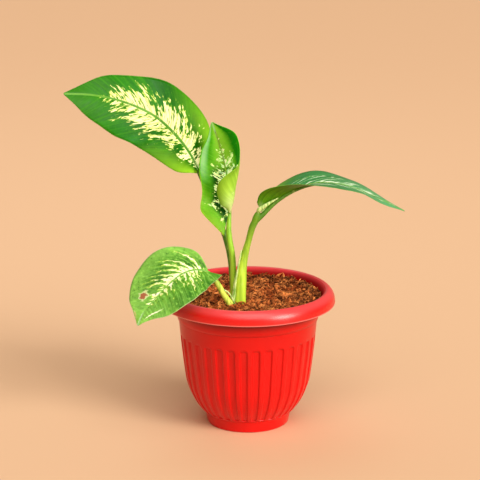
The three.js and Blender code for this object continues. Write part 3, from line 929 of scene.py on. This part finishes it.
def make_chips():
    """Loose chips of coir over the bed."""
    draw = random.Random(CHIP_SEED)
    points, faces, tones = [], [], []
    for _ in range(CHIPS):
        radius, x, y = scattered(draw, CHIP_REACH)
        size = CHIP_SIZE + CHIP_SIZE_SPREAD * draw.random() ** CHIP_SIZE_POWER
        spread = [size * draw.uniform(*limits) for limits in CHIP_SHAPE]
        spin = Euler((draw.gauss(0, CHIP_TILT), draw.gauss(0, CHIP_TILT), draw.uniform(0, 2 * pi)))
        clump = noise.fractal(Vector((x, y, CLUMP_LAYER)) * CLUMP_SCALE, *CLUMP_FRACTAL)
        height = soil_height(x, y) + CLUMP_HEIGHT * clump + draw.uniform(*CHIP_LIFT)
        height += mound(x, y, *CHIP_PILE)
        # A chip's tone rises with the clump under it and falls toward the rim, and that fall is painted shade
        shade = CHIP_TONE + CLUMP_TONE * clump - RIM_PAINTED_SHADE * smooth_step(radius, *RIM_PAINTED_SHADE_FADE)
        tone = min(1, max(0, draw.gauss(shade, CHIP_TONE_SPREAD)))
        start = len(points)
        for corner in CHIP_POINTS:
            shake = Vector([draw.uniform(*CHIP_SHAKE) * c * s for c, s in zip(corner, spread)])
            shake.rotate(spin)
            points.append((x + shake.x, y + shake.y, min(height + shake.z, CHIP_LIMIT)))
            tones.append(tone)
        faces += [tuple(start + k for k in face) for face in CHIP_FACES]
    lay_on_soil("coir_chips", points, faces, tones, False)


def make_fibres():
    """Short curved hairs of coir that stand out of the surface."""
    draw = random.Random(FIBRE_SEED)
    points, faces, tones = [], [], []
    for _ in range(FIBRES):
        _, x, y = scattered(draw, FIBRE_REACH)
        root = Vector((x, y, soil_height(x, y) + FIBRE_LIFT))
        forward = Vector((draw.gauss(0, 1), draw.gauss(0, 1), draw.uniform(*FIBRE_RISE))).normalized()
        bend = Vector((draw.gauss(0, FIBRE_BEND), draw.gauss(0, FIBRE_BEND), FIBRE_SAG))
        length = draw.uniform(*FIBRE_LENGTH)
        thick = draw.uniform(*FIBRE_THICKNESS)
        tone = draw.uniform(*FIBRE_TONE)
        side = forward.orthogonal().normalized()
        other = forward.cross(side)
        start = len(points)
        for step in range(FIBRE_STEPS):
            share = step / (FIBRE_STEPS - 1)
            middle = root + forward * length * share + bend * (share * share * length * FIBRE_DROOP)
            if hypot(middle.x, middle.y) > FIBRE_LIMIT:
                middle.xy = middle.xy.normalized() * FIBRE_LIMIT
            girth = thick * (1 - FIBRE_TAPER * share)
            points += in_ring(middle, girth, side, other, FIBRE_SIDES)
            tones += [tone] * FIBRE_SIDES
        faces += ring_faces(FIBRE_STEPS, FIBRE_SIDES, start)
        faces += end_faces(start, FIBRE_STEPS, FIBRE_SIDES)
    lay_on_soil("coir_fibres", points, faces, tones, True)


# Leaves

def blade_frame(leaf, share):
    """Origin on the midrib, and the directions forward, right and up from the blade."""
    forward = heading(leaf["midrib"], share)
    right = along_curve(leaf["across"], share)
    right = (right - right.dot(forward) * forward).normalized()
    return along_curve(leaf["midrib"], share), forward, right, right.cross(forward)


def end_fade(share, rise):
    """0 at a blade's base and tip and 1 between them, with a steeper rise where that is higher."""
    return min(1, rise * share * (1 - share))


def half_numbers(half, share):
    """Width, sweep, fold, curl and wave of a half at a share of the way to the tip."""
    width, sweep, fold, curl = (along_list(half[key], share) for key in ("width", "sweep", "fold", "curl"))
    curl = radians(curl)
    if abs(curl) < LEAST_CURL:
        curl = LEAST_CURL
    size, count, phase = half["wave"]
    ripple = size * end_fade(share, WAVE_RISE) * sin(2 * pi * count * share + phase)
    return width, sweep, radians(fold), curl, ripple


def blade_point(axes, numbers, side, out):
    origin, forward, right, upper = axes
    width, sweep, fold, curl, ripple = numbers
    sideways = width * (sin(fold + curl * out) - sin(fold)) / curl
    up = width * (cos(fold) - cos(fold + curl * out)) / curl + ripple * out * out
    return origin + forward * (sweep * out ** SWEEP_POWER) + right * (side * sideways) + upper * up


def quilting(look, share, out, side):
    """The blade swells a little between its side veins and dips along the midrib."""
    wave = cos(2 * pi * look.veins * (share + VEIN_STAGGER * side))
    hump = 1 - abs(wave) ** 3
    across_fade = sin(pi * min(1, out ** 0.8))
    groove = -GROOVE_DEPTH * exp(-((out * GROOVE_NARROWNESS) ** 2)) * (1 - share)
    return look.quilt * hump * across_fade * end_fade(share, QUILT_RISE) + groove


def blade_columns(leaf):
    """The lines along a blade from its left margin to its right one: half, side and share of the way out."""
    steps = [(k / HALF_BLADE_COLUMNS) ** COLUMN_CROWDING for k in range(HALF_BLADE_COLUMNS + 1)]
    left = [(leaf["left"], -1, out) for out in reversed(steps[1:])]
    return left + [(leaf["right"], 1, out) for out in steps]


def blade_middle(leaf, columns):
    """Rows of points on a blade's middle surface, and the numbers that the materials read."""
    rows, numbers = [], []
    sides = {-1: leaf["left"], 1: leaf["right"]}
    for i in range(BLADE_ROWS + 1):
        share = i / BLADE_ROWS
        axes = blade_frame(leaf, share)
        halves = {side: half_numbers(half, share) for side, half in sides.items()}
        reach = {side: along_list(half["cream"], share) for side, half in sides.items()}
        row = []
        for half, side, out in columns:
            width = halves[side][0]
            row.append(blade_point(axes, halves[side], side, out))
            root = share - half["lean"] * out * width / MIDRIB_LENGTH
            numbers.append((share, side * out * width, out, reach[side] - out, side, root))
        rows.append(row)
    names = ("along", "across", "out", "room", "side", "root")
    return rows, {name: list(values) for name, values in zip(names, zip(*numbers))}


def surface_normals(rows):
    last_row = len(rows) - 1
    last = len(rows[0]) - 1

    def normal(i, j):
        forward = rows[min(i + 1, last_row)][j] - rows[max(i - 1, 0)][j]
        sideways = rows[i][min(j + 1, last)] - rows[i][max(j - 1, 0)]
        return sideways.cross(forward).normalized()

    return [[normal(i, j) for j in range(last + 1)] for i in range(last_row + 1)]


def shell_faces(wide):
    """A blade's upper side, underside and rim, and which material each face has."""
    last = wide - 1
    lower = wide * (BLADE_ROWS + 1)
    faces, kinds = [], []
    for i in range(BLADE_ROWS):
        for j in range(last):
            here = i * wide + j
            quad = (here, here + 1, here + wide + 1, here + wide)
            faces += [quad, tuple(lower + k for k in reversed(quad))]
            kinds += [UPPER_FACE, UNDER_FACE]
    rim = [(0, j) for j in range(last)] + [(i, last) for i in range(BLADE_ROWS)]
    rim += [(BLADE_ROWS, j) for j in range(last, 0, -1)] + [(i, 0) for i in range(BLADE_ROWS, 0, -1)]
    rim = [i * wide + j for i, j in rim]
    for here, there in zip(rim, rim[1:] + rim[:1]):
        faces.append((here, lower + here, lower + there, there))
        kinds.append(UPPER_FACE)
    return faces, kinds


def blade_mesh(leaf, look):
    """Points, faces, each face's material and the numbers that the materials read."""
    columns = blade_columns(leaf)
    middle, numbers = blade_middle(leaf, columns)
    normals = surface_normals(middle)
    points = []
    for face in (0.5, -0.5):
        for i in range(BLADE_ROWS + 1):
            for j, (_, side, out) in enumerate(columns):
                thick = between(BLADE_THICKNESS, MARGIN_THICKNESS, out ** 3)
                lift = face * thick + quilting(look, i / BLADE_ROWS, out, side)
                points.append(middle[i][j] + normals[i][j] * lift)
    numbers = {key: values * 2 for key, values in numbers.items()}
    faces, kinds = shell_faces(len(columns))
    return points, faces, kinds, numbers


def tube_mesh(path, radii, rows=TRIM_ROWS, sides=TRIM_SIDES):
    """Points, faces and the share along of a round tube that tapers along a smooth path."""
    points, shares = [], []
    normal = Vector((0, 1, 0))
    for i in range(rows + 1):
        share = i / rows
        centre = along_curve(path, share)
        tangent = heading(path, share)
        normal = (normal - normal.dot(tangent) * tangent).normalized()
        side = tangent.cross(normal)
        radius = along_list(radii, share)
        points += in_ring(centre, radius, normal, side, sides)
        shares += [share] * sides
    return points, ring_faces(rows + 1, sides) + end_faces(0, rows + 1, sides), shares


def stalk_path(leaf):
    """The stalk and, under the blade, the midrib that it runs on into."""
    x, y, _ = leaf["stalk"][0]
    path = [(x, y, STALK_FOOT), (x, y, STALK_BEND), *leaf["stalk"]]
    radii = [leaf["stalk_radius"][0]] * 2 + leaf["stalk_radius"]
    for k in range(MIDRIB_STEPS + 1):
        share = k / MIDRIB_STEPS * MIDRIB_REACH
        origin, _, _, upper = blade_frame(leaf, share)
        radius = between(leaf["midrib_radius"], TIP_RADIUS, share / MIDRIB_REACH)
        path.append(tuple(origin - upper * radius * MIDRIB_SINK))
        radii.append(radius)
    return path, radii


def leaf_tubes(leaf):
    """The stalk and the thin growth along it, each with its material."""
    tubes = [(*tube_mesh(*stalk_path(leaf), STALK_ROWS, STALK_SIDES), STALK_FACE)]
    if "sheath" in leaf:
        tubes.append((*tube_mesh(leaf["sheath"], [leaf["sheath_radius"], TIP_RADIUS]), SHEATH_FACE))
    if "collar" in leaf:
        points, faces, shares = tube_mesh(leaf["collar"], leaf["collar_radius"])
        tubes.append((points, faces, [between(*COLLAR_TONES, share) for share in shares], STALK_FACE))
        tubes.append((*tube_mesh(leaf["ruffle"], leaf["ruffle_radius"]), SHEATH_FACE))
    return tubes


def make_leaf(leaf, look):
    name = leaf["name"]
    points, faces, kinds, numbers = blade_mesh(leaf, look)
    for tube_points, tube_faces, shares, kind in leaf_tubes(leaf):
        start = len(points)
        points += tube_points
        faces += [tuple(start + k for k in face) for face in tube_faces]
        kinds += [kind] * len(tube_faces)
        for key in numbers:
            numbers[key] += shares if key == "along" else [0.0] * len(tube_points)
    materials = [blade_material(name + "_upper", look), underside_material(name + "_under", look),
                 stalk_material(name + "_stalk", look), sheath_material()]
    part_of_frame(make_object(name + "_fine", points, faces, materials, kinds, numbers), name)


# How each leaf is coloured: colours, how strong each effect is, how many cells of noise fit along the blade,
# and how far an effect reaches as a share of the blade's length or of its half width

COMMON_LOOK = dict(
    veins=11, quilt=0.14, rough=0.42, gloss=0.1, glow=0,
    tongues=24, tongue_length=19, swing=1.8, hair=2, fleck=1.6, wobble=1.2, loose=0.12,
    ridged=False, thread=0.75, thicken=0.2, streaks=0, streak_short=0.2, streak_width=0.25,
    cream=srgb(252, 248, 190), cream_edge=srgb(205, 225, 105), slit=0.85, slit_at=0.6,
    # The glow of the cream markings is painted light
    lit_cream=0, lit_reach=2, line=0.45, mottle=0.15,
    # The lighter tip and the pale outer edge are painted sheen, and the lifted middle is painted light
    lime=srgb(152, 206, 42), base_glow=0.85, tip_glow=0, centre=0, rim_light=0,
    # The channel and the shaded side are painted shade
    sheen=srgb(205, 228, 205), sheen_band=0, tip_sheen=0.7, channel=0, shaded_side=None,
    rib=2.2, rib_strength=0.95, rib_colour=srgb(98, 166, 42),
    margin=0.3, margin_colour=srgb(150, 190, 90), margin_dark=0,
    under=srgb(120, 200, 84), under_dark=srgb(88, 168, 58), under_cream=srgb(222, 238, 170),
    under_even=0, under_edge=0, ghost=0.3, under_glow=0.9, glow_reach=0.22, glow_out=0.9,
    stalk_fade=(0, 0.5), marks=[],
)


def leaf_look(**own):
    """The look that all leaves share, with what is a leaf's own."""
    return SimpleNamespace(**{**COMMON_LOOK, **own})


LOOK_A = leaf_look(
    # The cream's glow near the base is painted light, lifting the shade that leaf B casts
    seed=3, slit=1, slit_at=0.59, lit_cream=0.35, lit_reach=0.24,
    green=srgb(20, 118, 0), dark=srgb(8, 88, 0), light=srgb(84, 170, 28), line=0.35,
    # The lighter tip is painted sheen
    lime=srgb(150, 212, 40), base_glow=0.95, tip_glow=0.25,
    # Darker stalk colours: painted shade, as this stalk stands in shade behind leaf B's
    stalk_foot=srgb(140, 186, 62), stalk_top=srgb(72, 142, 12), stalk_shade=srgb(48, 108, 8),
)

LOOK_B = leaf_look(
    seed=21, glow=1, tongues=14,
    # The cream's glow is painted light in the shade of the curl
    cream=srgb(222, 255, 186), slit=1, slit_at=0.52, lit_cream=0.45,
    # Lighter greens and a lifted middle: painted light in the hollow of the curled blade
    green=srgb(100, 178, 18), dark=srgb(64, 146, 10), light=srgb(168, 236, 76), line=0.15,
    base_glow=0.4, centre=0.7,
    # The dark channel and the dark side are painted shade
    sheen=srgb(196, 244, 204), sheen_band=0.45, channel=1, shaded_side=srgb(6, 118, 0),
    rib_strength=0.3, rib_colour=srgb(120, 190, 50),
    margin=0.8, margin_colour=srgb(150, 215, 40), margin_dark=0.9,
    under=srgb(184, 236, 76), under_dark=srgb(104, 170, 12), under_even=0.5, under_edge=0.6,
    ghost=0.5, glow_reach=0.3, glow_out=1.8,
    stalk_foot=srgb(214, 248, 74), stalk_top=srgb(150, 210, 50), stalk_shade=srgb(70, 140, 14),
)

LOOK_C = leaf_look(
    seed=8, tongues=14, swing=0.9, hair=0.4, fleck=0.2, wobble=0.5, ridged=True,
    cream=srgb(226, 240, 214), cream_edge=srgb(150, 200, 150),
    # The lighter tip is painted sheen
    green=srgb(48, 134, 60), dark=srgb(32, 106, 42), light=srgb(110, 182, 126), tip_glow=0.6,
    # Darker underside colours: partly painted shade on the lobe that faces down
    under=srgb(92, 150, 8), under_dark=srgb(62, 116, 2), ghost=0, under_glow=0.45, glow_reach=0.07,
    # The dark upper stalk is painted shade on the midrib's underside
    stalk_foot=srgb(206, 246, 70), stalk_top=srgb(74, 124, 12), stalk_shade=srgb(96, 154, 24),
    stalk_fade=(0.22, 0.52),
)

LOOK_D = leaf_look(
    seed=14, quilt=0.65, tongues=16, hair=0.7, fleck=0.35, wobble=1.8,
    streaks=18, streak_short=0.3, streak_width=0.3, cream=srgb(250, 253, 226), slit=0.2,
    green=srgb(86, 150, 40), dark=srgb(32, 92, 24), light=srgb(152, 216, 92), line=0.6, mottle=0.7,
    # The lighter tip and the pale outer edge are painted sheen
    base_glow=0, tip_glow=0.6, rim_light=0.5,
    rib=1, rib_strength=0.7, rib_colour=srgb(116, 176, 62),
    margin=0.7, margin_colour=srgb(190, 215, 150),
    stalk_foot=srgb(236, 255, 104), stalk_top=srgb(116, 176, 62), stalk_shade=srgb(96, 160, 28),
    stalk_fade=(0.3, 0.45),
    marks=[
        dict(along=0.65, out=0.47, stretch=3.4, size=0.125, rag=0.3,
             colour=srgb(160, 98, 66), border=srgb(196, 216, 150)),
        dict(along=0.85, out=0.88, stretch=2.5, size=0.06, rag=0.3,
             colour=srgb(190, 160, 100), border=srgb(180, 200, 130)),
        dict(along=0.77, out=-0.64, stretch=0.38, size=0.035, rag=0.02,
             colour=srgb(240, 246, 210), border=srgb(190, 220, 150)),
    ],
)

for leaf, look in ((LEAF_A, LOOK_A), (LEAF_B, LOOK_B), (LEAF_C, LOOK_C), (LEAF_D, LOOK_D)):
    make_leaf(leaf, look)

make_pot()
make_soil()
make_chips()
make_fibres()

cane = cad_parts["cane"]
cane.data.materials.clear()
cane.data.materials.append(cane_material())

# Floor, backdrop and light

FLOOR_HALF = 6000
FLOOR_HEIGHT = -0.2
ROOM_LIGHT = 0.36
SKY_PLACE = (-0.2, 1.0, 2.0)
SKY_AIM = (0, 0, 0.25)
SKY_SIZE = 1.4

corners = ((-1, -1), (1, -1), (1, 1), (-1, 1))
floor_corners = [(x * FLOOR_HALF, y * FLOOR_HALF, FLOOR_HEIGHT) for x, y in corners]
floor_finish = Graph("pale_floor").finish(FLOOR_COLOUR, 0.7, 0.2)
floor = make_object("floor", floor_corners, [(0, 1, 2, 3)], [floor_finish])

world = bpy.data.worlds.new("soft_sky")
world.use_nodes = True
background = world.node_tree.nodes["Background"]
background.inputs["Color"].default_value = ROOM_COLOUR
background.inputs["Strength"].default_value = ROOM_LIGHT
scene.world = world
scene.view_settings.view_transform = "Standard"


def add_light(name, kind, direction, power, colour):
    light = bpy.data.lights.new(name, kind)
    light.energy = power
    light.color = colour
    lamp = add_object(name, light)
    lamp.rotation_euler = direction.to_track_quat("-Z", "Y").to_euler()
    return lamp


def add_sun(name, source, power, spread, colour):
    sun = add_light(name, "SUN", -Vector(source), power, colour)
    sun.data.angle = radians(spread)


add_sun("low_key", source=(1, -0.85, 0.6), power=2.6, spread=26, colour=(1, 0.95, 0.88))
add_sun("high_key", source=(0.1, -1, 1.3), power=1.6, spread=50, colour=(1, 0.96, 0.9))
sky = add_light("sky", "AREA", Vector(SKY_AIM) - Vector(SKY_PLACE), power=7, colour=(0.92, 0.97, 1))
sky.location = SKY_PLACE
sky.data.shape = "DISK"
sky.data.size = SKY_SIZE

camera = bpy.data.cameras.new("camera")
camera.sensor_width = SENSOR_WIDTH
camera.lens = LENS
camera.shift_x = SHIFT_X
camera_object = add_object("camera", camera)
camera_object.location = (0, -CAMERA_DISTANCE * METRES, CAMERA_HEIGHT * METRES)
camera_object.rotation_euler = (pi / 2 - CAMERA_PITCH, 0, 0)
scene.camera = camera_object
